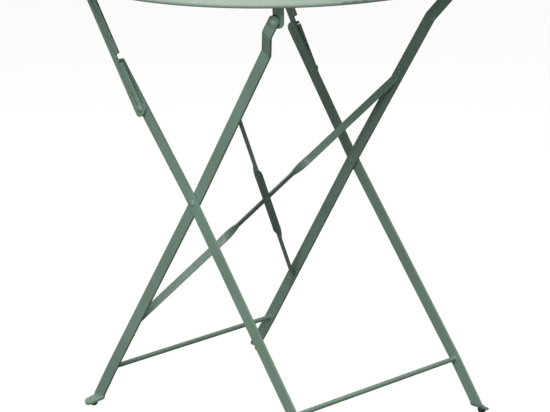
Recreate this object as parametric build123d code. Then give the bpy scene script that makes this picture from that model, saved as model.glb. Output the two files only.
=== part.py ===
from build123d import *
from math import atan2, cos, degrees, hypot, radians, sin, tan
import os

# Folding round bistro table, 600 mm across and 714 mm high, in painted flat steel.
# Millimetres. +Z is up, +Y runs along the stretcher rods, and X lies across the crossed legs.
# The origin is on the floor under the middle of the top.
# "Front" is the -Y side. The rear half of each pair is the mirror image of the front half.

# ---- table top -------------------------------------------------------------------------
table_height = 714.0
top_radius = 300.0
top_sheet = 1.2            # pressed steel sheet
rim_depth = 22.0           # from the upper face to the lower edge of the rim
rim_corner = 5.0           # outer radius where the sheet turns down into the rim
hem_radius = 6.4           # outer radius of the edge rolled in under the rim
hem_return = 4.0           # height of the returned edge

# ---- flat bar of the legs --------------------------------------------------------------
leg_width = 18.0
leg_thickness = 4.0
gentle_bend = 260.0        # bend radius of the slight bow in each leg
joggle_bend = 9.0          # bend radius at the joggle near the top

# ---- side view: pivots and leg lines ---------------------------------------------------
crossing_x = -7.0
crossing_z = 367.0
hinge_x = 186.0            # pivot between the pivot legs and the top
pivot_height = 668.0       # height of the pivots under the top, hinge side and latch side
latch_x = -202.6           # pivot between the latch bars and the top
latch_foot_x = 255.56      # where the latch leg's centre line meets the floor
latch_pin_reach = 163.7    # from the crossing up the latch leg to the latch bar's lower rivet
latch_leg_reach = 238.6    # from the crossing up the latch leg to the centre of its round end

# ---- half widths of the two frames, from the middle plane to the outer face -------------
latch_leg_at_floor = 181.8
latch_leg_at_rod = 185.0
latch_leg_at_crossing = 180.0
latch_leg_at_top = 189.4
pivot_leg_at_floor = 178.0
pivot_leg_at_rod = 179.8
pivot_leg_at_joggle = 180.5
pivot_leg_at_hinge = 200.0
joggle_start = 296.0       # from the crossing up the pivot leg
joggle_end = 334.0
seat_half = 14.0           # half the length of the flat seat pressed in a leg at a pivot
running_gap = 0.3          # between parts that slide past each other
washer_thickness = 1.0

# ---- feet ------------------------------------------------------------------------------
foot_bend_height = 14.2    # height where the leg's outer face would meet the foot's upper face
foot_bend = 4.5            # bend radius on the bar's centre line
foot_turn = 20.0           # degrees that the foot points off the line of the rods, the way the leg leans
pivot_foot_droop = 18.0    # degrees that the foot slopes down towards its tip
latch_foot_droop = 26.0
pivot_foot_length = 24.5   # from the bend to the tip
latch_foot_length = 21.0
glide_position = 10.5      # from the bend to the glide rivet
glide_diameter = 13.0
glide_flat = 6.5           # diameter of the level face on the floor
glide_collar = 1.5         # least height of the straight part under the foot

# ---- stretcher rods --------------------------------------------------------------------
rod_diameter = 7.5
pivot_rod_height = 68.3
latch_rod_height = 79.5

# ---- cross brace in the pivot frame ----------------------------------------------------
brace_width = 12.4
brace_thickness = 2.0
brace_lower = -252.0       # along the pivot leg from the crossing, where the brace leaves the leg
brace_upper = 174.0
brace_tab = 22.0           # length lying flat on the leg
brace_bend = 6.0
brace_twist = 36.0         # length of each quarter twist
rising_twists = (0.3575, 0.634)  # centres of the twists as fractions of the diagonal
falling_twists = (0.294, 0.662)

# ---- latch bars ------------------------------------------------------------------------
bar_width = 17.0
bar_thickness = 4.0
bar_end_beyond_pin = 11.0
bar_corner = 6.0
bar_pin_offset = 4.0       # the lower rivet is this far off the bar's centre line
bar_stand_off = 2.5        # from the latch leg's outer face to the bar's inner face at the rivet
notch_length = 14.5
notch_depth = 8.0
notch_corner = 1.5
lip_thickness = 3.5
lip_width = 5.0
lip_clearance = 0.4        # between the lip and the inner end of the notch
lip_proud = 1.2            # how far the lip stands out past the bar

# ---- crossbars under the top -----------------------------------------------------------
crossbar_width = 20.0
crossbar_thickness = 3.5
crossbar_bend = 6.0
ear_outer = 192.2          # half width over the ears
hinge_ear_offset = 3.0     # the hinge ears are centred this far outboard of the rivet

# ---- rivets and washers ----------------------------------------------------------------
pin_diameter = 7.0
pin_clearance = 0.08       # radial, where a part turns on its rivet
head_diameter = 11.0
head_height = 2.6
washer_diameter = 16.0
small_pin = 4.6
small_head = 8.0
small_head_height = 1.8
low_head_height = 0.8      # on the rivet where the braces cross

# ---- worked out from the sizes above -----------------------------------------------------
pivot_line = Vector(hinge_x - crossing_x, 0, pivot_height - crossing_z)
pivot_up = pivot_line.normalized()
latch_up = Vector(crossing_x - latch_foot_x, 0, crossing_z).normalized()
crossing = Vector(crossing_x, 0, crossing_z)
hinge_reach = pivot_line.length
pivot_leg_at_crossing = latch_leg_at_crossing - leg_thickness - running_gap - washer_thickness
bar_at_top = pivot_leg_at_hinge
sheet_underside = table_height - top_sheet
latch_pin = crossing + latch_up * latch_pin_reach
latch_top_pin = Vector(latch_x, 0, pivot_height)


def reach_at(up, height):
    """Distance along a leg from the crossing to a height."""
    return (height - crossing_z) / up.Z


def between(stations, place):
    """Straight-line value at a place between listed (place, value) stations."""
    for (p0, v0), (p1, v1) in zip(stations, stations[1:]):
        if place <= p1:
            break
    return v0 + (v1 - v0) * (place - p0) / (p1 - p0)


pivot_stations = [
    (reach_at(pivot_up, 0), pivot_leg_at_floor),
    (reach_at(pivot_up, pivot_rod_height), pivot_leg_at_rod),
    (-seat_half, pivot_leg_at_crossing),
    (seat_half, pivot_leg_at_crossing),
    (joggle_start, pivot_leg_at_joggle),
    (joggle_end, pivot_leg_at_hinge),
    (hinge_reach + leg_width, pivot_leg_at_hinge),
]
latch_stations = [
    (reach_at(latch_up, 0), latch_leg_at_floor),
    (reach_at(latch_up, latch_rod_height), latch_leg_at_rod),
    (-seat_half, latch_leg_at_crossing),
    (seat_half, latch_leg_at_crossing),
    (latch_leg_reach + leg_width, latch_leg_at_top),
]
bar_at_pin = between(latch_stations, latch_pin_reach) + bar_stand_off + bar_thickness


# ---- planes and helpers ------------------------------------------------------------------
def section_plane(origin, up):
    """Plane whose x runs up the bar and whose y points out, towards -Y."""
    return Plane(origin=origin, x_dir=up, z_dir=Vector(up.Z, 0, -up.X))


def outline_plane(origin, up):
    """Plane of the side view, whose x runs up the bar and whose y is its +X edge."""
    return Plane(origin=origin, x_dir=up, z_dir=(0, 1, 0))


def offset_chain(chain, distance):
    """Points of a polyline moved sideways, to the left where distance is positive."""
    points = [Vector(*p) for p in chain]
    ways = [(b - a).normalized() for a, b in zip(points, points[1:])]
    sides = [Vector(-w.Y, w.X) for w in ways]
    moved = [points[0] + sides[0] * distance]
    for point, before, after in zip(points[1:], sides, sides[1:]):
        mitre = (before + after).normalized()
        moved.append(point + mitre * (distance / mitre.dot(after)))
    moved.append(points[-1] + sides[-1] * distance)
    return moved


def bent_strip(chain, thickness, bends):
    """Section of a bent flat bar: its centre line and the bend radius at each corner."""
    points = [Vector(*p) for p in chain]
    left_radii = []
    right_radii = []
    for a, b, c, bend in zip(points, points[1:], points[2:], bends):
        turn = 1 if (b - a).cross(c - b).Z > 0 else -1
        left_radii.append(bend - turn * thickness / 2)
        right_radii.append(bend + turn * thickness / 2)
    left = offset_chain(chain, thickness / 2)
    right = offset_chain(chain, -thickness / 2)
    if bends:
        sides = [FilletPolyline(*left, radius=left_radii), FilletPolyline(*right, radius=right_radii)]
    else:
        sides = [Line(left[0], left[1]), Line(right[0], right[1])]
    ends = [Line(left[0], right[0]), Line(left[-1], right[-1])]
    return make_face([edge for line in sides + ends for edge in line.edges()])


def across(center, out_from, out_to, diameter):
    """Cylinder along Y on the front side, between two distances from the middle plane."""
    length = out_to - out_from
    place = Plane(origin=(center.X, -out_from, center.Z), x_dir=(1, 0, 0), z_dir=(0, -1, 0))
    return place * Cylinder(diameter / 2, length, align=(Align.CENTER, Align.CENTER, Align.MIN))


def dome(place, diameter, height):
    """Domed rivet head standing on a plane, with a short straight rim."""
    rim = height * 0.3
    rise = height - rim
    ball = (diameter * diameter / 4 + rise * rise) / (2 * rise)
    cap = Pos(0, 0, height - ball) * Sphere(ball)
    limit = Cylinder(diameter / 2, height, align=(Align.CENTER, Align.CENTER, Align.MIN))
    return place * (cap & limit)


def head_out(center, out, diameter, height):
    """Rivet head on a face that looks out, away from the middle plane."""
    return dome(Plane(origin=(center.X, -out, center.Z), x_dir=(1, 0, 0), z_dir=(0, -1, 0)), diameter, height)


def head_in(center, out, diameter, height):
    """Rivet head on a face that looks in, towards the middle plane."""
    return dome(Plane(origin=(center.X, -out, center.Z), x_dir=(1, 0, 0), z_dir=(0, 1, 0)), diameter, height)


def rear(shape):
    """The matching piece on the +Y side."""
    return mirror(shape, about=Plane.XZ)


def along(up, reach):
    """Point on a leg's centre line, in the middle plane."""
    return crossing + up * reach


# ---- table top ---------------------------------------------------------------------------
def table_top():
    """Pressed disc with its rim turned down and the edge hemmed inside."""
    hem_level = table_height - rim_depth + hem_radius
    hem_middle = top_radius - hem_radius
    inner_wall = top_radius - top_sheet
    inner_hem = hem_radius - top_sheet
    hem_end = hem_level + hem_return
    skin = [
        Line((0, table_height), (top_radius - rim_corner, table_height)),
        CenterArc((top_radius - rim_corner, table_height - rim_corner), rim_corner, 0, 90),
        Line((top_radius, table_height - rim_corner), (top_radius, hem_level)),
        CenterArc((hem_middle, hem_level), hem_radius, 180, 180),
        Line((hem_middle - hem_radius, hem_level), (hem_middle - hem_radius, hem_end)),
        Line((hem_middle - hem_radius, hem_end), (hem_middle - inner_hem, hem_end)),
        Line((hem_middle - inner_hem, hem_end), (hem_middle - inner_hem, hem_level)),
        CenterArc((hem_middle, hem_level), inner_hem, 180, 180),
        Line((inner_wall, hem_level), (inner_wall, table_height - rim_corner)),
        CenterArc((top_radius - rim_corner, table_height - rim_corner), rim_corner - top_sheet, 0, 90),
        Line((top_radius - rim_corner, sheet_underside), (0, sheet_underside)),
        Line((0, sheet_underside), (0, table_height)),
    ]
    profile = make_face([edge for line in skin for edge in line.edges()])
    return revolve(Plane.XZ * profile, axis=Axis.Z)


def crossbar(pin, ear_offset):
    """Flat bar under the top whose ends turn down into round-ended ears."""
    middle_x = pin.X + ear_offset
    level = sheet_underside - crossbar_thickness / 2
    reach = ear_outer - crossbar_thickness / 2
    ear_end = pin.Z - crossbar_width / 2
    chain = [(-reach, ear_end), (-reach, level), (reach, level), (reach, ear_end)]
    place = Plane(origin=(middle_x, 0, 0), x_dir=(0, 1, 0), z_dir=(1, 0, 0))
    bar = extrude(place * bent_strip(chain, crossbar_thickness, [crossbar_bend] * 2), crossbar_width / 2, both=True)
    side = Plane(origin=(middle_x, 0, pin.Z), x_dir=(1, 0, 0), z_dir=(0, -1, 0))
    height = table_height - pin.Z
    flat = Pos(0, height / 2) * Rectangle(crossbar_width, height)
    outline = extrude(side * (flat + Circle(crossbar_width / 2)), ear_outer, both=True)
    hole = across(pin, -ear_outer, ear_outer, pin_diameter)
    return bar & outline - hole


# ---- legs ----------------------------------------------------------------------------------
def leg_bar(up, stations, top_outline, bends):
    """Leg from its foot bend to its top end, before the holes."""
    chain = [(place, out - leg_thickness / 2) for place, out in stations]
    lowest = chain[0][0] - leg_width
    slope = (chain[1][1] - chain[0][1]) / (chain[1][0] - chain[0][0])
    chain[0] = (lowest, chain[0][1] - slope * leg_width)
    strip = section_plane(crossing, up) * bent_strip(chain, leg_thickness, bends)
    bar = extrude(strip, leg_width / 2, both=True)
    outline = extrude(outline_plane(crossing, up) * top_outline, -top_radius)
    join = foot_bend_height + 2 * foot_bend
    above_bend = Pos(0, 0, join + table_height / 2) * Box(4 * top_radius, 4 * top_radius, table_height)
    return bar & outline & above_bend


def leg_outline(up, end_reach, end_radius):
    """Side view of a leg with a round top end."""
    start = reach_at(up, 0) - leg_width
    straight = Pos((start + end_reach) / 2, 0) * Rectangle(end_reach - start, leg_width)
    return straight + Pos(end_reach, 0) * Circle(end_radius)


def foot_frame(up, stations, droop):
    """Plane at the middle of the bend (x in, z along the fold), with the foot's direction and normal."""
    turn_height = foot_bend_height + foot_bend / 2
    reach = reach_at(up, turn_height)
    middle = along(up, reach)
    rate = (stations[1][1] - stations[0][1]) / (stations[1][0] - stations[0][0])
    out = between(stations, reach) - rate * (turn_height - foot_bend_height) / up.Z
    skew = -rate * up.X
    fold = Vector(1, skew, 0)
    place = Plane(origin=(middle.X, -out, foot_bend_height), x_dir=(-skew, 1, 0), z_dir=fold)
    lean = -1 if up.X > 0 else 1
    turn = radians(foot_turn)
    angle = radians(droop)
    way = Vector(-cos(turn) * cos(angle), -cos(turn) * sin(angle), lean * sin(turn))
    normal = Vector(-sin(angle), cos(angle), 0)
    way = (place.from_local_coords(way) - place.origin).normalized()
    normal = (place.from_local_coords(normal) - place.origin).normalized()
    return place, way, normal


def foot(up, stations, droop, length):
    """The leg's end bent out into a short sloping tongue with a round tip."""
    place, way, normal = foot_frame(up, stations, droop)
    rate = (stations[1][1] - stations[0][1]) / (stations[1][0] - stations[0][0]) * up.Z
    rise = 4 * foot_bend
    reach = 2 * length
    angle = radians(droop)
    face = [(-rate * rise, rise), (0, 0), (-reach * cos(angle), -reach * sin(angle))]
    chain = [(p.X, p.Y) for p in offset_chain(face, leg_thickness / 2)]
    strip = extrude(place * bent_strip(chain, leg_thickness, [foot_bend]), leg_width, both=True)
    turn_height = foot_bend_height + foot_bend / 2
    tall = 4 * leg_width
    middle = along(up, reach_at(up, turn_height))
    cut = Pos(middle.X, -latch_leg_at_floor, turn_height + tall / 2) * Box(4 * tall, 4 * tall, tall)
    straight = Rectangle(2 * tall, leg_width)
    shank = extrude(outline_plane(middle, up) * straight, -top_radius) & cut
    below_join = Pos(middle.X, -latch_leg_at_floor, foot_bend_height + 2 * foot_bend) * Box(4 * tall, 4 * tall, tall)
    below_join = Pos(0, 0, -tall / 2) * below_join
    flat_plane = Plane(origin=place.origin, x_dir=way, z_dir=normal)
    fold_way = flat_plane.to_local_coords(place.origin + place.z_dir)
    half_fold = leg_width / 2 / abs(up.Z)
    one = Vector(fold_way.X, fold_way.Y).normalized() * half_fold
    if one.Y < 0:
        one = one * -1
    back = Vector(-one.Y, one.X).normalized() * foot_bend
    if back.X > 0:
        back = back * -1
    tip = length - leg_width / 2
    points = [back - one, one * -1, (tip, -leg_width / 2), (tip, leg_width / 2), one, back + one]
    flat = make_face(Polyline(*points, close=True)) + Pos(tip, 0) * Circle(leg_width / 2)
    tongue = extrude(flat_plane * flat, tall / 2, both=True) - cut
    return strip & below_join & (shank + tongue)


def glide_place(up, stations, droop):
    """Plane on the foot's upper face at the glide rivet."""
    place, way, normal = foot_frame(up, stations, droop)
    return Plane(origin=place.origin + way * glide_position, x_dir=way, z_dir=normal)


def glide(up, stations, droop):
    """Domed plastic glide under the foot, with a level face on the floor."""
    place = glide_place(up, stations, droop)
    radius = glide_diameter / 2
    center_height = (radius ** 2 - glide_flat ** 2 / 4) ** 0.5
    normal = place.z_dir
    top = place.origin - normal * leg_thickness
    drop = (top.Z - center_height) / normal.Z
    center = top - normal * drop
    face = Plane(origin=top, x_dir=place.x_dir, z_dir=normal)
    collar = face * Cylinder(radius, max(drop, glide_collar), align=(Align.CENTER, Align.CENTER, Align.MAX))
    ball = Pos(center) * Sphere(radius)
    size = 4 * leg_width
    below_face = face * Pos(0, 0, -size / 2) * Box(size, size, size)
    above_floor = Pos(center.X, center.Y, size / 2) * Box(size, size, size)
    hole = face * Cylinder(small_pin / 2, leg_thickness)
    return (collar + ball) & below_face & above_floor - hole


def glide_rivet(up, stations, droop):
    """Rivet that holds a glide, with a low head on the foot."""
    place = glide_place(up, stations, droop)
    depth = leg_thickness * 1.5
    shank = place * Cylinder(small_pin / 2, depth, align=(Align.CENTER, Align.CENTER, Align.MAX))
    return shank + dome(place, small_head, small_head_height)


def foot_hole(up, stations, droop):
    return glide_place(up, stations, droop) * Cylinder(small_pin / 2, 3 * leg_thickness)


def brace_pin_places():
    """Where the brace tabs are riveted, as distances along the pivot leg."""
    return [brace_lower - brace_tab / 2, brace_upper + brace_tab / 2]


def pivot_leg():
    """Inner leg: foot at -X, hinged to the top at +X, joggled out to the hinge ear."""
    outline = leg_outline(pivot_up, hinge_reach, leg_width / 2 + 0.8)
    bends = [gentle_bend, gentle_bend, gentle_bend, joggle_bend, joggle_bend]
    leg = leg_bar(pivot_up, pivot_stations, outline, bends) + foot(*pivot_foot, pivot_foot_length)
    turning = pin_diameter + 2 * pin_clearance
    leg -= across(crossing, 0, top_radius, turning)
    leg -= across(along(pivot_up, hinge_reach), 0, top_radius, turning)
    for place in brace_pin_places():
        leg -= across(along(pivot_up, place), 0, top_radius, small_pin)
    return leg - foot_hole(*pivot_foot)


def lip_region():
    """Lip's place on the latch leg: distance up the leg and out from its centre line."""
    inner_end = bar_width / 2 - notch_depth + lip_clearance
    lean = bar_lean()
    reach = latch_leg_reach + leg_width * 0.12
    start = (bar_offset_at(reach) + inner_end / cos(lean))
    return reach, start


def bar_direction():
    """Unit vector up the latch bar's centre line, and a point on it beside the lower rivet."""
    pin = latch_pin
    line = latch_top_pin - pin
    swing = atan2(bar_pin_offset, (line.length ** 2 - bar_pin_offset ** 2) ** 0.5)
    way = line.rotate(Axis.Y, degrees(swing)).normalized()
    return way, latch_top_pin - way * line.dot(way)


def bar_lean():
    """Angle between the latch bar and the latch leg, in radians."""
    way, _ = bar_direction()
    return radians(way.get_angle(latch_up))


def bar_offset_at(reach):
    """How far the bar's centre line lies to the +X side of the latch leg's, up the leg."""
    way, base = bar_direction()
    side = Vector(latch_up.Z, 0, -latch_up.X)
    start = base - crossing
    run = (reach - start.dot(latch_up)) / way.dot(latch_up)
    return (start + way * run).dot(side)


def lip():
    """Lip turned out from the latch leg's end, which stops the bar."""
    reach, start = lip_region()
    out_from = between(latch_stations, reach) - leg_thickness / 2
    out_to = bar_outer_at(reach) + lip_proud
    flat = Pos(reach + lip_thickness / 2, start + lip_width / 2) * Rectangle(lip_thickness, lip_width)
    block = extrude(outline_plane(crossing, latch_up) * flat, -out_to)
    inside = Pos(0, -out_from / 2, 0) * Box(4 * top_radius, out_from, 4 * top_radius)
    return block - inside


def bar_outer_at(reach):
    """Half width over the latch bars beside a place on the latch leg."""
    span = (latch_top_pin - latch_pin).length
    return bar_at_pin + (bar_at_top - bar_at_pin) * (reach - latch_pin_reach) / span


def latch_leg():
    """Outer leg: foot at +X, short upper end with the lip that stops the latch bar."""
    reach, start = lip_region()
    outline = leg_outline(latch_up, latch_leg_reach, leg_width / 2)
    past_lip = Pos(reach + lip_thickness + leg_width / 2, start + leg_width / 2) * Rectangle(leg_width, leg_width)
    under_lip = Pos(reach - leg_width / 2 + lip_thickness, start + lip_width / 2) * Rectangle(leg_width, lip_width)
    outline = outline + under_lip - past_lip
    leg = leg_bar(latch_up, latch_stations, outline, [gentle_bend, gentle_bend, gentle_bend])
    leg = leg + foot(*latch_foot, latch_foot_length) + lip()
    leg -= across(crossing, 0, top_radius, pin_diameter)
    leg -= across(latch_pin, 0, top_radius, pin_diameter)
    return leg - foot_hole(*latch_foot)


# ---- rods ------------------------------------------------------------------------------------
def rod(up, stations, height):
    """Round stretcher rod welded between the inner faces of a pair of legs."""
    reach = reach_at(up, height)
    middle = along(up, reach)
    half = between(stations, reach) - leg_thickness / 2
    return across(middle, -half, half, rod_diameter)


# ---- cross brace -------------------------------------------------------------------------------
def brace_end(way, corner, tab_end, start):
    """Bent end of a brace: the tab on the leg and the run up to the twist."""
    chain = [tab_end, corner, start]
    strip = section_plane(crossing, pivot_up) * bent_strip(chain, brace_thickness, [brace_bend])
    return extrude(strip, brace_width / 2, both=True)


def brace_section(point, way, turn, shift):
    """Cross-section of the brace at a point of the pivot frame's plane, turned about its length."""
    frame = section_plane(crossing, pivot_up)
    origin = frame.from_local_coords(Vector(point.X, point.Y, shift))
    side_way = frame.from_local_coords(Vector(-way.Y, way.X, 0)) - frame.origin
    normal = frame.from_local_coords(Vector(0, 0, 1)) - frame.origin
    flat = normal * cos(turn) - side_way * sin(turn)
    length_way = frame.from_local_coords(Vector(way.X, way.Y, 0)) - frame.origin
    return Plane(origin=origin, x_dir=flat, z_dir=length_way) * Rectangle(brace_width, brace_thickness)


def brace(lower_side, twists, shift):
    """Flat bar from a lower leg to the opposite upper leg, twisted flat where the two cross."""
    def seat(reach, side):
        inner = between(pivot_stations, reach) - leg_thickness - brace_thickness / 2
        return Vector(reach, side * inner)

    low = seat(brace_lower, lower_side)
    high = seat(brace_upper, -lower_side)
    low_tab = seat(brace_lower - brace_tab, lower_side)
    high_tab = seat(brace_upper + brace_tab, -lower_side)
    run = high - low
    way = run.normalized()
    marks = [low + run * part for part in twists]
    half = way * (brace_twist / 2)
    first = brace_end(way, low, low_tab, marks[0] - half)
    last = brace_end(way, high, high_tab, marks[1] + half)
    steps = 6
    pieces = [first, last]
    for mark, sense in zip(marks, (1, -1)):
        sections = []
        for step in range(steps + 1):
            part = step / steps
            flatness = part if sense > 0 else 1 - part
            point = mark + way * (brace_twist * (part - 0.5))
            sections.append(brace_section(point, way, flatness * radians(90), shift * flatness))
        pieces.append(loft(sections, ruled=True))
    middle = marks[1] - marks[0] - half * 2
    flat = brace_section(marks[0] + half, way, radians(90), shift)
    pieces.append(extrude(flat, middle.length))
    whole = pieces[0]
    for piece in pieces[1:]:
        whole = whole + piece
    return whole


def brace_holes(shape):
    """A brace with its end and middle rivet holes."""
    for place in brace_pin_places():
        shape -= across(along(pivot_up, place), -top_radius, top_radius, small_pin)
    return shape - middle_rivet_shank()


def brace_middle():
    """Point where the two braces cross, in the middle plane."""
    low = between(pivot_stations, brace_lower)
    high = between(pivot_stations, brace_upper)
    inset = leg_thickness + brace_thickness / 2
    part = (low - inset) / (low + high - 2 * inset)
    return along(pivot_up, brace_lower + (brace_upper - brace_lower) * part)


def middle_rivet_shank():
    place = Plane(origin=brace_middle(), x_dir=pivot_up, z_dir=Vector(pivot_up.Z, 0, -pivot_up.X))
    return place * Cylinder(small_pin / 2, 2 * brace_thickness)


def brace_middle_rivet():
    """Rivet through both braces, with a head on each side."""
    normal = Vector(pivot_up.Z, 0, -pivot_up.X)
    shape = middle_rivet_shank()
    for side in (1, -1):
        face = Plane(origin=brace_middle() + normal * (side * brace_thickness), x_dir=pivot_up, z_dir=normal * side)
        shape = shape + dome(face, small_head, low_head_height)
    return shape


def brace_end_rivet(place):
    """Rivet through a pivot leg and a brace tab, flush outside and headed on the tab."""
    middle = along(pivot_up, place)
    outer = between(pivot_stations, place)
    inner = outer - leg_thickness - brace_thickness
    return across(middle, inner, outer, small_pin) + head_in(middle, inner, small_head, small_head_height)


# ---- latch bars --------------------------------------------------------------------------------
def latch_bar():
    """Notched bar that props the top off the latch leg."""
    way, base = bar_direction()
    length = (latch_top_pin - base).dot(way)
    start = -bar_end_beyond_pin
    tilt = (bar_at_top - bar_at_pin) / length
    chain = [
        (start, bar_at_pin + tilt * start - bar_thickness / 2),
        (length + bar_width, bar_at_pin + tilt * (length + bar_width) - bar_thickness / 2),
    ]
    bar = extrude(section_plane(base, way) * bent_strip(chain, bar_thickness, []), bar_width / 2, both=True)
    straight = Pos((start + length) / 2, 0) * RectangleRounded(length - start, bar_width, bar_corner)
    end = Pos(length, 0) * Circle(bar_width / 2)
    outline = straight + Pos(length - bar_corner, 0) * Rectangle(2 * bar_corner, bar_width) + end
    outline -= notch(base, way)
    bar = bar & extrude(outline_plane(base, way) * outline, -top_radius)
    bar -= across(latch_pin, 0, top_radius, pin_diameter)
    return bar - across(latch_top_pin, 0, top_radius, pin_diameter + 2 * pin_clearance)


def notch(base, way):
    """Slot in the bar's +X edge, which the leg's lip enters as the table opens."""
    reach, start = lip_region()
    side = Vector(latch_up.Z, 0, -latch_up.X)
    lip_root = along(latch_up, reach) + side * start
    low_flank = (lip_root - base).dot(way) - 4 * lip_clearance
    slot = RectangleRounded(notch_length, 2 * notch_depth, notch_corner)
    return Pos(low_flank + notch_length / 2, bar_width / 2) * slot


# ---- rivets, washers and spacers -----------------------------------------------------------------
def crossing_rivet():
    """Fixed in the latch leg; the pivot leg turns on it."""
    outer = latch_leg_at_crossing
    inner = pivot_leg_at_crossing - leg_thickness - running_gap
    shank = across(crossing, inner, outer, pin_diameter)
    heads = head_out(crossing, outer, head_diameter, head_height)
    return shank + heads + head_in(crossing, inner, head_diameter, head_height)


def crossing_washer():
    ring = across(crossing, pivot_leg_at_crossing, pivot_leg_at_crossing + washer_thickness, washer_diameter)
    return ring - across(crossing, 0, top_radius, pin_diameter + 2 * pin_clearance)


def top_rivet(pin, slack):
    """Fixed in an ear under the top, with a leg or a latch bar turning on it."""
    inner = ear_outer - crossbar_thickness
    outer = bar_at_top + slack + washer_thickness
    shank = across(pin, inner, outer, pin_diameter)
    heads = head_in(pin, inner, head_diameter, head_height)
    return shank + heads + head_out(pin, outer, head_diameter, head_height)


def top_washer(pin, slack):
    start = bar_at_top + slack
    ring = across(pin, start, start + washer_thickness, washer_diameter)
    return ring - across(pin, 0, top_radius, pin_diameter)


def top_spacer(pin, slack):
    end = bar_at_top - max(leg_thickness, bar_thickness) - slack
    ring = across(pin, ear_outer, end, washer_diameter)
    return ring - across(pin, 0, top_radius, pin_diameter)


def latch_face_rise():
    """How much a tilted bar's face rises across half a washer."""
    return (bar_at_top - bar_at_pin) / (latch_top_pin - latch_pin).length * washer_diameter / 2


def lower_washer():
    """Washer between a latch bar and the latch leg."""
    inner = bar_at_pin - bar_thickness - latch_face_rise()
    outer_leg = between(latch_stations, latch_pin_reach) + latch_face_rise() + running_gap
    return across(latch_pin, outer_leg, inner, washer_diameter) - across(latch_pin, 0, top_radius, pin_diameter)


def lower_rivet():
    """Headed half of the lower latch rivet, which turns with the bar."""
    inner = between(latch_stations, latch_pin_reach) + running_gap
    outer = bar_at_pin
    return across(latch_pin, inner, outer, pin_diameter) + head_out(latch_pin, outer, head_diameter, head_height)


def lower_rivet_tail():
    """Set end of the lower latch rivet, fixed in the latch leg."""
    outer = between(latch_stations, latch_pin_reach) - running_gap / 2
    inner = outer - leg_thickness
    return across(latch_pin, inner, outer, pin_diameter) + head_in(latch_pin, inner, head_diameter, head_height)


# ---- the assembly --------------------------------------------------------------------------------
def pair(shape):
    """A front piece and its rear twin as one node of two solids."""
    return Compound(children=[shape, rear(shape)])


def group(shapes):
    return Compound(children=shapes)


hinge_pin = Vector(hinge_x, 0, pivot_height)
bar_slack = running_gap + latch_face_rise()
pivot_foot = (pivot_up, pivot_stations, pivot_foot_droop)
latch_foot = (latch_up, latch_stations, latch_foot_droop)

front_pivot_leg = pivot_leg()
front_latch_leg = latch_leg()
front_latch_bar = latch_bar()
rear_pivot_leg = rear(front_pivot_leg)
rear_latch_leg = rear(front_latch_leg)
pivot_rod = rod(pivot_up, pivot_stations, pivot_rod_height) - front_pivot_leg - rear_pivot_leg
latch_rod = rod(latch_up, latch_stations, latch_rod_height) - front_latch_leg - rear_latch_leg
rising_brace = brace_holes(brace(1, rising_twists, -brace_thickness / 2))
falling_brace = brace_holes(brace(-1, falling_twists, brace_thickness / 2))
front_end_rivets = [brace_end_rivet(place) for place in brace_pin_places()]
end_rivets = front_end_rivets + [rear(rivet) for rivet in front_end_rivets]
end_rivets = [rivet - rising_brace - falling_brace for rivet in end_rivets]
front_lower_rivet = lower_rivet() - front_latch_bar
front_rivet_tail = lower_rivet_tail() - front_latch_leg

nodes = {
    "table_top": table_top(),
    "hinge_crossbar": crossbar(hinge_pin, hinge_ear_offset),
    "latch_crossbar": crossbar(latch_top_pin, 0.0),
    "pivot_leg_front": front_pivot_leg,
    "pivot_leg_rear": rear_pivot_leg,
    "latch_leg_front": front_latch_leg,
    "latch_leg_rear": rear_latch_leg,
    "pivot_frame_rod": pivot_rod,
    "latch_frame_rod": latch_rod,
    "cross_brace_rising": rising_brace,
    "cross_brace_falling": falling_brace,
    "brace_middle_rivet": brace_middle_rivet(),
    "brace_end_rivets": group(end_rivets),
    "latch_bar_front": front_latch_bar,
    "latch_bar_rear": rear(front_latch_bar),
    "crossing_rivets": pair(crossing_rivet()),
    "crossing_washers": pair(crossing_washer()),
    "hinge_rivets": pair(top_rivet(hinge_pin, running_gap)),
    "hinge_washers": pair(top_washer(hinge_pin, running_gap)),
    "hinge_spacers": pair(top_spacer(hinge_pin, running_gap)),
    "latch_upper_rivets": pair(top_rivet(latch_top_pin, bar_slack)),
    "latch_upper_washers": pair(top_washer(latch_top_pin, bar_slack)),
    "latch_upper_spacers": pair(top_spacer(latch_top_pin, bar_slack)),
    "latch_lower_rivet_front": front_lower_rivet,
    "latch_lower_rivet_rear": rear(front_lower_rivet),
    "latch_lower_washer_front": lower_washer(),
    "latch_lower_washer_rear": rear(lower_washer()),
    "latch_rivet_tails": pair(front_rivet_tail),
    "pivot_foot_glide_front": glide(*pivot_foot),
    "pivot_foot_glide_rear": rear(glide(*pivot_foot)),
    "latch_foot_glide_front": glide(*latch_foot),
    "latch_foot_glide_rear": rear(glide(*latch_foot)),
    "pivot_glide_rivets": pair(glide_rivet(*pivot_foot)),
    "latch_glide_rivets": pair(glide_rivet(*latch_foot)),
}

os.makedirs("parts", exist_ok=True)
for name, shape in nodes.items():
    export_step(shape, f"parts/{name}.step")
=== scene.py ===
"""Painted-steel folding bistro table: rounded edges, finishes, weld beads and a studio."""

import math
import random

import bmesh
import bpy
from mathutils import Matrix, Vector


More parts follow.
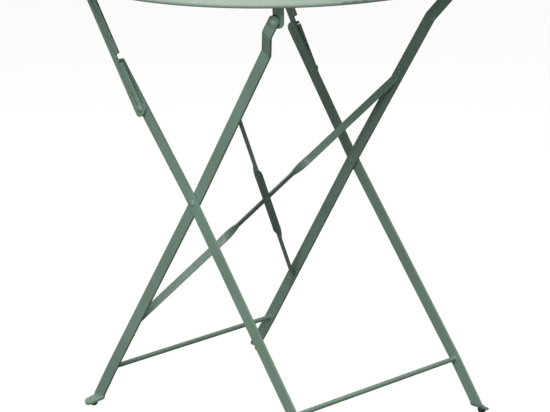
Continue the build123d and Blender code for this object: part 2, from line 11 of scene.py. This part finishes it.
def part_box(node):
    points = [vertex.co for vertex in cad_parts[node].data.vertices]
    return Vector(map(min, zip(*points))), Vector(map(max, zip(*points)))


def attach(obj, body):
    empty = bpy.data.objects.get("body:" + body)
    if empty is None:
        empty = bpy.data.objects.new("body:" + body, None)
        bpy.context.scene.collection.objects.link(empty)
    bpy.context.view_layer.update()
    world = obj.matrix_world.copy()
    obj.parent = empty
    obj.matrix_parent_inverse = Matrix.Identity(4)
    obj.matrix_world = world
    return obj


bl_info = {
    "name": "Folding Bistro Table",
    "version": (1, 0, 0),
    "blender": (4, 5, 0),
    "location": "3D View > Sidebar > Bistro Table",
    "description": "Finishes a folding steel bistro table and sets it in a plain studio",
    "category": "Object",
}

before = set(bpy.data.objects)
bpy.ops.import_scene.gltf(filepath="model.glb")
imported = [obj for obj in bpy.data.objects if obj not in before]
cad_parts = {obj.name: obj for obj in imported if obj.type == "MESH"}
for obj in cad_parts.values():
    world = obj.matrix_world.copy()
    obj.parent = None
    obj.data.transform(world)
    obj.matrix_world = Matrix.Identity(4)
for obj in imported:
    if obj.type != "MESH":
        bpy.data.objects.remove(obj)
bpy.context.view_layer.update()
MM = 0.001

# A mix node has one set of sockets for each kind of data. These are the colour ones.
MIX_COLOUR_A, MIX_COLOUR_B, MIX_COLOUR_RESULT = 6, 7, 2

TOP_NODES = ("table_top",)
LEG_NODES = ("pivot_leg_front", "pivot_leg_rear", "latch_leg_front", "latch_leg_rear")
CROSSBAR_NODES = ("hinge_crossbar", "latch_crossbar")
LATCH_BAR_NODES = ("latch_bar_front", "latch_bar_rear")
BRACE_NODES = ("cross_brace_rising", "cross_brace_falling")
ROD_BODIES = {"pivot_frame_rod": "pivot_frame", "latch_frame_rod": "latch_frame"}
WASHER_NODES = (
    "crossing_washers",
    "hinge_washers",
    "hinge_spacers",
    "latch_upper_washers",
    "latch_upper_spacers",
    "latch_lower_washer_front",
    "latch_lower_washer_rear",
)
RIVET_NODES = (
    "crossing_rivets",
    "hinge_rivets",
    "latch_upper_rivets",
    "latch_lower_rivet_front",
    "latch_lower_rivet_rear",
    "latch_rivet_tails",
    "brace_middle_rivet",
    "brace_end_rivets",
    "pivot_glide_rivets",
    "latch_glide_rivets",
)
GLIDE_NODES = (
    "pivot_foot_glide_front",
    "pivot_foot_glide_rear",
    "latch_foot_glide_front",
    "latch_foot_glide_rear",
)


def linear(hex_colour):
    """An sRGB hex colour as linear red, green and blue."""
    channels = [int(hex_colour[i : i + 2], 16) / 255 for i in (0, 2, 4)]
    return tuple(c / 12.92 if c <= 0.04045 else ((c + 0.055) / 1.055) ** 2.4 for c in channels)


def opaque(colour):
    """A colour with full alpha, as colour sockets take it."""
    return (*colour, 1.0)


def per_metre(size):
    """The noise scale whose features are about that many metres across."""
    return 1.0 / size


def add(tree, kind, inputs=None, **settings):
    """Adds a node. Each input is a value, or another node's output to link."""
    node = tree.nodes.new(kind)
    for name, value in settings.items():
        setattr(node, name, value)
    for name, value in (inputs or {}).items():
        if isinstance(value, bpy.types.NodeSocket):
            tree.links.new(value, node.inputs[name])
        else:
            node.inputs[name].default_value = value
    return node


def new_material(name):
    """An empty node material, and its node tree."""
    material = bpy.data.materials.new(name)
    material.use_nodes = True
    material.node_tree.nodes.clear()
    return material, material.node_tree


def finish_material(tree, shader):
    """Links a shader to the material's surface."""
    add(tree, "ShaderNodeOutputMaterial", {"Surface": shader.outputs["BSDF"]})


# ---- sizes and colours that a user would change ------------------------------------------


class CoatProperties(bpy.types.PropertyGroup):
    colour: bpy.props.FloatVectorProperty(
        name="Coat colour", description="Powder coat on the faces of the steel",
        subtype="COLOR", default=linear("657D6E"), min=0, max=1,
    )
    deep_colour: bpy.props.FloatVectorProperty(
        name="Deep colour", description="Where the coat lies thicker, in broad soft patches",
        subtype="COLOR", default=linear("5E7566"), min=0, max=1,
    )
    # Painted light: the top is coloured lighter than the legs to paint in the brighter light that
    # falls on its rim.
    top_colour_painted_lighter: bpy.props.FloatVectorProperty(
        name="Top colour", description="Powder coat on the pressed top, which takes a fuller coat",
        subtype="COLOR", default=linear("8C9E91"), min=0, max=1,
    )
    # Painted highlight: the rounded edges take this lighter colour to paint in the highlight they
    # catch from the overhead light.
    edge_highlight_colour: bpy.props.FloatVectorProperty(
        name="Edge colour", description="Thin coat drawn back over the rounded edges",
        subtype="COLOR", default=linear("7F9688"), min=0, max=1,
    )
    peel: bpy.props.FloatProperty(
        name="Orange peel", description="Width of one ripple in the cured coat",
        subtype="DISTANCE", default=2.2 * MM, min=0.5 * MM, max=10 * MM,
    )
    patch: bpy.props.FloatProperty(
        name="Patch size", description="Width of the broad changes of tone",
        subtype="DISTANCE", default=70 * MM, min=5 * MM, max=500 * MM,
    )
    roughness: bpy.props.FloatProperty(
        name="Roughness", description="Satin sheen of the cured coat",
        default=0.40, min=0.1, max=1.0,
    )


class EdgeProperties(bpy.types.PropertyGroup):
    bar_edge: bpy.props.FloatProperty(
        name="Bar edge", description="Rounding of the flat bars' rolled edges",
        subtype="DISTANCE", default=0.45 * MM, min=0.05 * MM, max=1.5 * MM,
    )
    thin_edge: bpy.props.FloatProperty(
        name="Thin edge", description="Rounding of the braces' and washers' edges",
        subtype="DISTANCE", default=0.25 * MM, min=0.05 * MM, max=0.8 * MM,
    )


class GlideProperties(bpy.types.PropertyGroup):
    colour: bpy.props.FloatVectorProperty(
        name="Glide colour", description="Moulded nylon of the foot glides",
        subtype="COLOR", default=linear("1F2321"), min=0, max=1,
    )
    grain: bpy.props.FloatProperty(
        name="Mould grain", description="Width of one dimple of the mould's texture",
        subtype="DISTANCE", default=1.1 * MM, min=0.2 * MM, max=5 * MM,
    )


class WeldProperties(bpy.types.PropertyGroup):
    bead: bpy.props.FloatProperty(
        name="Rod bead", description="Leg length of the fillet round each rod's end",
        subtype="DISTANCE", default=1.3 * MM, min=0.5 * MM, max=4 * MM,
    )
    stitch: bpy.props.FloatProperty(
        name="Stitch length", description="Length of each short bead along the crossbars",
        subtype="DISTANCE", default=26 * MM, min=8 * MM, max=60 * MM,
    )
    ripple: bpy.props.FloatProperty(
        name="Ripple", description="Distance from one ripple of a bead to the next",
        subtype="DISTANCE", default=1.8 * MM, min=0.5 * MM, max=5 * MM,
    )


class StudioProperties(bpy.types.PropertyGroup):
    floor_colour: bpy.props.FloatVectorProperty(
        name="Floor colour", description="Plain pale studio floor",
        subtype="COLOR", default=linear("F4F4F2"), min=0, max=1,
    )
    overhead: bpy.props.FloatProperty(
        name="Overhead light", description="Power of the broad softbox over the table",
        subtype="POWER", default=140.0, min=0, max=500,
    )
    front: bpy.props.FloatProperty(
        name="Front light", description="Power of the softbox beside the camera",
        subtype="POWER", default=41.0, min=0, max=500,
    )
    fill: bpy.props.FloatProperty(
        name="Fill light", description="Power of the low softbox that lights the far legs",
        subtype="POWER", default=46.0, min=0, max=500,
    )
    ambient: bpy.props.FloatProperty(
        name="Ambient light", description="Even light from the white studio walls",
        default=0.36, min=0, max=2,
    )


# ---- finishes ----------------------------------------------------------------------------


def powder_coat(name, face, deep, roughness=None, waviness=0.0):
    """Polyester powder coat on steel, sprayed dry and cured in an oven.

    It flows into a satin skin with a slight orange peel, even in colour, with soft broad
    changes of tone where it lies thicker. The real ripples are about 1 mm across, and they
    are drawn twice as coarse so that they show. Waviness is how far the sheet under the coat
    rolls, as a multiple of the peel's height."""
    coat = bpy.context.scene.bistro_coat
    material, tree = new_material(name)
    place = add(tree, "ShaderNodeTexCoord").outputs["Object"]
    patches = add(
        tree, "ShaderNodeTexNoise",
        {"Vector": place, "Scale": per_metre(coat.patch), "Detail": 2.0, "Roughness": 0.5},
    )
    speckle = add(
        tree, "ShaderNodeTexNoise",
        {"Vector": place, "Scale": per_metre(1.6 * coat.peel), "Detail": 3.0, "Roughness": 0.6},
    )
    broad = add(
        tree, "ShaderNodeMapRange",
        {"Value": patches.outputs["Fac"], "From Min": 0.35, "From Max": 0.65},
    )
    tone = add(
        tree, "ShaderNodeMix",
        {
            "Factor": broad.outputs["Result"],
            MIX_COLOUR_A: opaque(face), MIX_COLOUR_B: opaque(deep),
        },
        data_type="RGBA",
    )
    fine = add(
        tree, "ShaderNodeMapRange",
        {
            "Value": speckle.outputs["Fac"],
            "From Min": 0.3, "From Max": 0.7, "To Min": 0.98, "To Max": 1.02,
        },
    )
    colour = add(
        tree, "ShaderNodeHueSaturation",
        {"Color": tone.outputs[MIX_COLOUR_RESULT], "Value": fine.outputs["Result"]},
    )
    sheen_base = roughness or coat.roughness
    gloss = add(
        tree, "ShaderNodeMapRange",
        {
            "Value": patches.outputs["Fac"],
            "From Min": 0.3, "From Max": 0.7,
            "To Min": sheen_base - 0.05, "To Max": sheen_base + 0.06,
        },
    )
    ripples = add(
        tree, "ShaderNodeTexNoise",
        {"Vector": place, "Scale": per_metre(coat.peel), "Detail": 1.0, "Roughness": 0.4},
    )
    height = ripples.outputs["Fac"]
    if waviness:
        sheet = add(
            tree, "ShaderNodeTexNoise",
            {"Vector": place, "Scale": per_metre(90 * MM), "Detail": 0.0},
        )
        height = add(
            tree, "ShaderNodeMath",
            {0: sheet.outputs["Fac"], 1: waviness, 2: height},
            operation="MULTIPLY_ADD",
        ).outputs[0]
    peel = add(
        tree, "ShaderNodeBump",
        {"Height": height, "Strength": 0.35, "Distance": 0.06 * MM},
    )
    shader = add(
        tree, "ShaderNodeBsdfPrincipled",
        {
            "Base Color": colour.outputs["Color"],
            "Roughness": gloss.outputs["Result"],
            "Normal": peel.outputs["Normal"],
            "IOR": 1.5,
        },
    )
    finish_material(tree, shader)
    return material


def moulded_nylon(name):
    """Nylon, injection moulded in a spark-eroded tool: dull black, with a fine even dimple
    that spreads its highlight."""
    glide = bpy.context.scene.bistro_glide
    material, tree = new_material(name)
    place = add(tree, "ShaderNodeTexCoord").outputs["Object"]
    dimples = add(
        tree, "ShaderNodeTexVoronoi",
        {"Vector": place, "Scale": per_metre(glide.grain)},
        feature="SMOOTH_F1",
    )
    scuffs = add(
        tree, "ShaderNodeTexNoise",
        {"Vector": place, "Scale": per_metre(5 * MM), "Detail": 4.0},
    )
    tone = add(
        tree, "ShaderNodeMapRange",
        {
            "Value": scuffs.outputs["Fac"],
            "From Min": 0.3, "From Max": 0.7, "To Min": 0.85, "To Max": 1.25,
        },
    )
    colour = add(
        tree, "ShaderNodeHueSaturation",
        {"Color": opaque(glide.colour), "Value": tone.outputs["Result"]},
    )
    gloss = add(
        tree, "ShaderNodeMapRange",
        {
            "Value": scuffs.outputs["Fac"],
            "From Min": 0.3, "From Max": 0.7, "To Min": 0.42, "To Max": 0.6,
        },
    )
    relief = add(
        tree, "ShaderNodeBump",
        {"Height": dimples.outputs["Distance"], "Strength": 0.3, "Distance": 0.05 * MM},
    )
    shader = add(
        tree, "ShaderNodeBsdfPrincipled",
        {
            "Base Color": colour.outputs["Color"],
            "Roughness": gloss.outputs["Result"],
            "Normal": relief.outputs["Normal"],
            "IOR": 1.53,
        },
    )
    finish_material(tree, shader)
    return material


def coat_pair(name, roughness=None):
    """The finish of a part's faces, and of its rounded edges, which take a lighter colour as a
    painted highlight.
    """
    coat = bpy.context.scene.bistro_coat
    face = powder_coat(name, coat.colour, coat.deep_colour, roughness)
    # Painted highlight: the edge material is lighter than the faces' coat.
    edge = powder_coat(name + "_edge", coat.edge_highlight_colour, coat.colour, roughness)
    return face, edge


def dress(names, materials, rounding=None):
    """Gives CAD nodes their materials, and rounds their sharp edges by that radius.

    The rounded edges take the last material."""
    same_point = 0.001 * MM
    sharpest_flat = math.radians(40)
    for name in names:
        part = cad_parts[name]
        part.data.materials.clear()
        for material in materials:
            part.data.materials.append(material)
        if rounding:
            weld = part.modifiers.new("join_faces", "WELD")
            weld.merge_threshold = same_point
            round_edges = part.modifiers.new("round_edges", "BEVEL")
            round_edges.width = rounding
            round_edges.segments = 2
            round_edges.limit_method = "ANGLE"
            round_edges.angle_limit = sharpest_flat
            round_edges.material = len(materials) - 1


# ---- weld beads --------------------------------------------------------------------------


def smooth_piece(name, mesh, body, material):
    """Makes a smooth painted piece from a mesh, riding on one body of the frame."""
    for face in mesh.faces:
        face.smooth = True
    data = bpy.data.meshes.new(name)
    mesh.to_mesh(data)
    mesh.free()
    data.materials.append(material)
    piece = bpy.data.objects.new(name, data)
    bpy.context.scene.collection.objects.link(piece)
    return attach(piece, body)


def loft(mesh, rings, closed):
    """Joins rings of points into one skin, closed on itself or capped at its two ends."""
    rows = [[mesh.verts.new(point) for point in ring] for ring in rings]
    count = len(rows[0])
    pairs = list(zip(rows, rows[1:]))
    if closed:
        pairs.append((rows[-1], rows[0]))
    for one, two in pairs:
        for i in range(count):
            j = (i + 1) % count
            mesh.faces.new((one[i], one[j], two[j], two[i]))
    if not closed:
        mesh.faces.new(rows[0])
        mesh.faces.new(list(reversed(rows[-1])))


def fillet_ring(mesh, centre, inward, radius, leg, ripple, wobble):
    """A fillet bead round a rod's end. Inward points along the rod, away from the leg.

    Its section is a triangle with a concave face, sunk a little into the rod and the leg."""
    steps = 72
    buried = -0.4 * leg
    behind_face = -0.15 * leg
    ripples = round(2 * math.pi * (radius + leg) / ripple)
    rings = []
    for i in range(steps):
        turn = 2 * math.pi * i / steps
        swell = 1 + 0.10 * math.sin(ripples * turn) + 0.12 * math.sin(turn + wobble)
        size = leg * swell
        out = Vector((math.cos(turn), 0, math.sin(turn)))
        profile = (
            (buried, behind_face),
            (size, behind_face),
            (0.72 * size, 0.22 * size),
            (0.44 * size, 0.48 * size),
            (0.20 * size, 0.76 * size),
            (buried, size),
        )
        rings.append([centre + out * (radius + r) + inward * y for r, y in profile])
    loft(mesh, rings, closed=True)


def stitch_bead(mesh, start, length, side, leg, ripple):
    """A short bead along +Y in the corner under the top. Side is -1 or 1, away from the bar.

    Its section is sunk a little into the bar and the sheet, and its ends taper."""
    steps = 60
    in_bar = -0.3 * leg
    in_sheet = 0.2 * leg
    taper = 0.02
    rings = []
    for i in range(steps + 1):
        along = i / steps
        ends = math.sin(math.pi * min(max(along, taper), 1 - taper)) ** 0.35
        swell = ends * (1 + 0.12 * math.sin(2 * math.pi * along * length / ripple))
        size = leg * swell
        y = start.y + along * length
        profile = (
            (in_bar, in_sheet),
            (size, in_sheet),
            (size, 0.0),
            (0.78 * size, -0.36 * size),
            (0.40 * size, -0.76 * size),
            (in_bar, -size),
        )
        ring = [Vector((start.x + side * x, y, start.z + z)) for x, z in profile]
        rings.append(ring if side > 0 else list(reversed(ring)))
    loft(mesh, rings, closed=False)


# ---- pieces ------------------------------------------------------------------------------


class BISTRO_OT_table_top(bpy.types.Operator):
    """Coats the pressed sheet top and its rolled rim"""

    bl_idname = "bistro.table_top"
    bl_label = "Table top"

    def execute(self, context):
        coat = context.scene.bistro_coat
        tone_where_thick = 0.94
        deeper = [tone_where_thick * c for c in coat.top_colour_painted_lighter]
        # Painted light: the sheet takes the lighter top colour, which paints in the brighter light
        # on the rim.
        sheet = powder_coat(
            "coat_on_pressed_sheet", coat.top_colour_painted_lighter, deeper, roughness=0.46, waviness=2.0
        )
        dress(TOP_NODES, (sheet,))
        return {"FINISHED"}


class BISTRO_OT_legs(bpy.types.Operator):
    """Coats the four bent flat-bar legs and rounds their rolled edges"""

    bl_idname = "bistro.legs"
    bl_label = "Legs"

    def execute(self, context):
        edges = context.scene.bistro_edges
        dress(LEG_NODES, coat_pair("coat_on_leg_bar"), edges.bar_edge)
        return {"FINISHED"}


class BISTRO_OT_crossbars(bpy.types.Operator):
    """Coats the two crossbars under the top"""

    bl_idname = "bistro.crossbars"
    bl_label = "Crossbars"

    def execute(self, context):
        edges = context.scene.bistro_edges
        dress(CROSSBAR_NODES, coat_pair("coat_on_crossbar"), edges.bar_edge)
        return {"FINISHED"}


class BISTRO_OT_rods(bpy.types.Operator):
    """Coats the two drawn stretcher rods"""

    bl_idname = "bistro.rods"
    bl_label = "Stretcher rods"

    def execute(self, context):
        dress(ROD_BODIES, coat_pair("coat_on_drawn_rod", roughness=0.34))
        return {"FINISHED"}


class BISTRO_OT_braces(bpy.types.Operator):
    """Coats the two twisted strips of the cross brace"""

    bl_idname = "bistro.braces"
    bl_label = "Cross brace"

    def execute(self, context):
        edges = context.scene.bistro_edges
        dress(BRACE_NODES, coat_pair("coat_on_twisted_strip"), edges.thin_edge)
        return {"FINISHED"}


class BISTRO_OT_latch_bars(bpy.types.Operator):
    """Coats the two notched latch bars"""

    bl_idname = "bistro.latch_bars"
    bl_label = "Latch bars"

    def execute(self, context):
        edges = context.scene.bistro_edges
        dress(LATCH_BAR_NODES, coat_pair("coat_on_latch_bar"), edges.bar_edge)
        return {"FINISHED"}


class BISTRO_OT_rivets(bpy.types.Operator):
    """Coats the rivets, washers and spacers"""

    bl_idname = "bistro.rivets"
    bl_label = "Rivets and washers"

    def execute(self, context):
        edges = context.scene.bistro_edges
        dress(RIVET_NODES, coat_pair("coat_on_rivet_heads", roughness=0.44))
        dress(WASHER_NODES, coat_pair("coat_on_washers", roughness=0.44), edges.thin_edge)
        return {"FINISHED"}


class BISTRO_OT_glides(bpy.types.Operator):
    """Gives the four foot glides their moulded nylon"""

    bl_idname = "bistro.glides"
    bl_label = "Foot glides"

    def execute(self, context):
        dress(GLIDE_NODES, (moulded_nylon("moulded_nylon_glide"),))
        return {"FINISHED"}


class BISTRO_OT_rod_welds(bpy.types.Operator):
    """Adds the fillet welds that hold the stretcher rods to the legs"""

    bl_idname = "bistro.rod_welds"
    bl_label = "Rod welds"

    def execute(self, context):
        weld = context.scene.bistro_weld
        coat = context.scene.bistro_coat
        material = powder_coat("coat_on_weld_bead", coat.colour, coat.deep_colour, roughness=0.44)
        chance = random.Random(7)
        for rod, body in ROD_BODIES.items():
            low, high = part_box(rod)
            middle = (low + high) / 2
            radius = (high.x - low.x) / 2
            for word, y, inward in (("front", low.y, 1), ("rear", high.y, -1)):
                mesh = bmesh.new()
                fillet_ring(
                    mesh,
                    Vector((middle.x, y, middle.z)),
                    Vector((0, inward, 0)),
                    radius,
                    weld.bead,
                    weld.ripple,
                    chance.uniform(0, 2 * math.pi),
                )
                smooth_piece(f"{rod}_weld_{word}", mesh, body, material)
        return {"FINISHED"}


class BISTRO_OT_crossbar_welds(bpy.types.Operator):
    """Adds the short welds that hold the crossbars to the underside of the top"""

    bl_idname = "bistro.crossbar_welds"
    bl_label = "Crossbar welds"

    def execute(self, context):
        weld = context.scene.bistro_weld
        coat = context.scene.bistro_coat
        material = powder_coat("coat_on_stitch_weld", coat.colour, coat.deep_colour, roughness=0.44)
        leg = 2.2 * MM
        middles = (-0.62, -0.2, 0.2, 0.62)  # as shares of the bar's half length
        for bar in CROSSBAR_NODES:
            low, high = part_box(bar)
            mesh = bmesh.new()
            for side, x in ((-1, low.x), (1, high.x)):
                for share in middles:
                    start = Vector((x, share * high.y - weld.stitch / 2, high.z))
                    stitch_bead(mesh, start, weld.stitch, side, leg, weld.ripple)
            smooth_piece(f"{bar}_welds", mesh, "top", material)
        return {"FINISHED"}


# ---- studio ------------------------------------------------------------------------------


def studio_floor(colour):
    """Matt white laminate board, lit so evenly that it reads as plain white.

    It throws only a little light back up at the table."""
    bounce = 0.12
    even_light = 0.98
    material, tree = new_material("matt_white_board")
    seen = add(tree, "ShaderNodeLightPath").outputs["Is Camera Ray"]
    board = add(tree, "ShaderNodeBsdfDiffuse", {"Color": opaque([bounce * c for c in colour])})
    glow = add(tree, "ShaderNodeEmission", {"Color": opaque(colour), "Strength": even_light})
    lit = add(tree, "ShaderNodeAddShader", {0: board.outputs[0], 1: glow.outputs[0]})
    mixed = add(tree, "ShaderNodeMixShader", {0: seen, 1: board.outputs[0], 2: lit.outputs[0]})
    add(tree, "ShaderNodeOutputMaterial", {"Surface": mixed.outputs[0]})
    return material


def aim(obj, target):
    """Turns a light so that it points at the target."""
    obj.rotation_euler = (Vector(target) - obj.location).to_track_quat("-Z", "Y").to_euler()


def softbox(name, place, target, width, height, power):
    """A rectangular area light that the camera doesn't see."""
    light = bpy.data.lights.new(name, "AREA")
    light.shape = "RECTANGLE"
    light.size = width
    light.size_y = height
    light.energy = power
    lamp = bpy.data.objects.new(name, light)
    lamp.location = place
    lamp.visible_camera = False
    bpy.context.scene.collection.objects.link(lamp)
    aim(lamp, target)


def place_camera():
    """A long lens, a little above the table, off its right front corner."""
    target = Vector((0, 0, 0.354))
    azimuth, elevation, roll = math.radians(44.21), math.radians(14.45), math.radians(-0.96)
    distance = 4.2043
    back = Vector(
        (
            math.sin(azimuth) * math.cos(elevation),
            -math.cos(azimuth) * math.cos(elevation),
            math.sin(elevation),
        )
    )
    level = (-back).cross(Vector((0, 0, 1))).normalized()
    rise = level.cross(-back)
    right = level * math.cos(roll) + rise * math.sin(roll)
    up = rise * math.cos(roll) - level * math.sin(roll)
    lens = bpy.data.cameras.new("camera")
    lens.sensor_width = 36.0
    lens.lens = 179.02
    lens.shift_x = -0.0078
    lens.shift_y = -0.0300
    lens.clip_start = 0.1
    lens.clip_end = 60
    camera = bpy.data.objects.new("camera", lens)
    turned = Matrix((right, up, back)).transposed().to_4x4()
    camera.matrix_world = Matrix.Translation(target + back * distance) @ turned
    bpy.context.scene.collection.objects.link(camera)
    bpy.context.scene.camera = camera


class BISTRO_OT_studio(bpy.types.Operator):
    """Sets the pale floor, the softboxes and the camera"""

    bl_idname = "bistro.studio"
    bl_label = "Studio"

    def execute(self, context):
        studio = context.scene.bistro_studio
        reach = 15.0
        data = bpy.data.meshes.new("studio_floor")
        corners = [(x * reach, y * reach, 0) for x, y in ((-1, -1), (1, -1), (1, 1), (-1, 1))]
        data.from_pydata(corners, [], [(0, 1, 2, 3)])
        data.materials.append(studio_floor(studio.floor_colour))
        floor = bpy.data.objects.new("studio_floor", data)
        context.scene.collection.objects.link(floor)
        softbox("overhead_softbox", (0.3, -0.4, 2.6), (0, 0, 0.4), 4.0, 4.0, studio.overhead)
        softbox("front_softbox", (1.35, -1.75, 2.3), (0, 0, 0.6), 1.0, 1.0, studio.front)
        softbox("fill_softbox", (1.2, -3.6, 0.75), (0, 0, 0.45), 1.6, 1.0, studio.fill)
        world = bpy.data.worlds.new("studio_walls")
        context.scene.world = world
        world.use_nodes = True
        tree = world.node_tree
        tree.nodes.clear()
        seen = add(tree, "ShaderNodeLightPath").outputs["Is Camera Ray"]
        dim = add(tree, "ShaderNodeBackground", {"Color": (1, 1, 1, 1), "Strength": studio.ambient})
        white = add(tree, "ShaderNodeBackground", {"Color": (1, 1, 1, 1), "Strength": 1.0})
        mixed = add(tree, "ShaderNodeMixShader", {0: seen, 1: dim.outputs[0], 2: white.outputs[0]})
        add(tree, "ShaderNodeOutputWorld", {"Surface": mixed.outputs[0]})
        context.scene.view_settings.view_transform = "Standard"
        place_camera()
        return {"FINISHED"}


class BISTRO_PT_panel(bpy.types.Panel):
    """Lists the settings and the operators in the sidebar"""

    bl_idname = "BISTRO_PT_panel"
    bl_label = "Bistro Table"
    bl_space_type = "VIEW_3D"
    bl_region_type = "UI"
    bl_category = "Bistro Table"

    def draw(self, context):
        for name in SETTINGS:
            group = getattr(context.scene, name)
            box = self.layout.box()
            for prop in group.bl_rna.properties:
                if prop.identifier not in ("rna_type", "name"):
                    box.prop(group, prop.identifier)
        for operator in OPERATORS:
            self.layout.operator(operator.bl_idname)


SETTINGS = {
    "bistro_coat": CoatProperties,
    "bistro_edges": EdgeProperties,
    "bistro_glide": GlideProperties,
    "bistro_weld": WeldProperties,
    "bistro_studio": StudioProperties,
}
OPERATORS = (
    BISTRO_OT_table_top,
    BISTRO_OT_legs,
    BISTRO_OT_crossbars,
    BISTRO_OT_rods,
    BISTRO_OT_braces,
    BISTRO_OT_latch_bars,
    BISTRO_OT_rivets,
    BISTRO_OT_glides,
    BISTRO_OT_rod_welds,
    BISTRO_OT_crossbar_welds,
    BISTRO_OT_studio,
)


def register():
    for kind in (*SETTINGS.values(), *OPERATORS, BISTRO_PT_panel):
        bpy.utils.register_class(kind)
    for name, kind in SETTINGS.items():
        setattr(bpy.types.Scene, name, bpy.props.PointerProperty(type=kind))


def unregister():
    for name in SETTINGS:
        delattr(bpy.types.Scene, name)
    for kind in reversed((*SETTINGS.values(), *OPERATORS, BISTRO_PT_panel)):
        bpy.utils.unregister_class(kind)


def main():
    """Finishes the table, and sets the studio."""
    register()
    for operator in OPERATORS:
        group, name = operator.bl_idname.split(".")
        getattr(getattr(bpy.ops, group), name)()


if __name__ == "__main__":
    main()
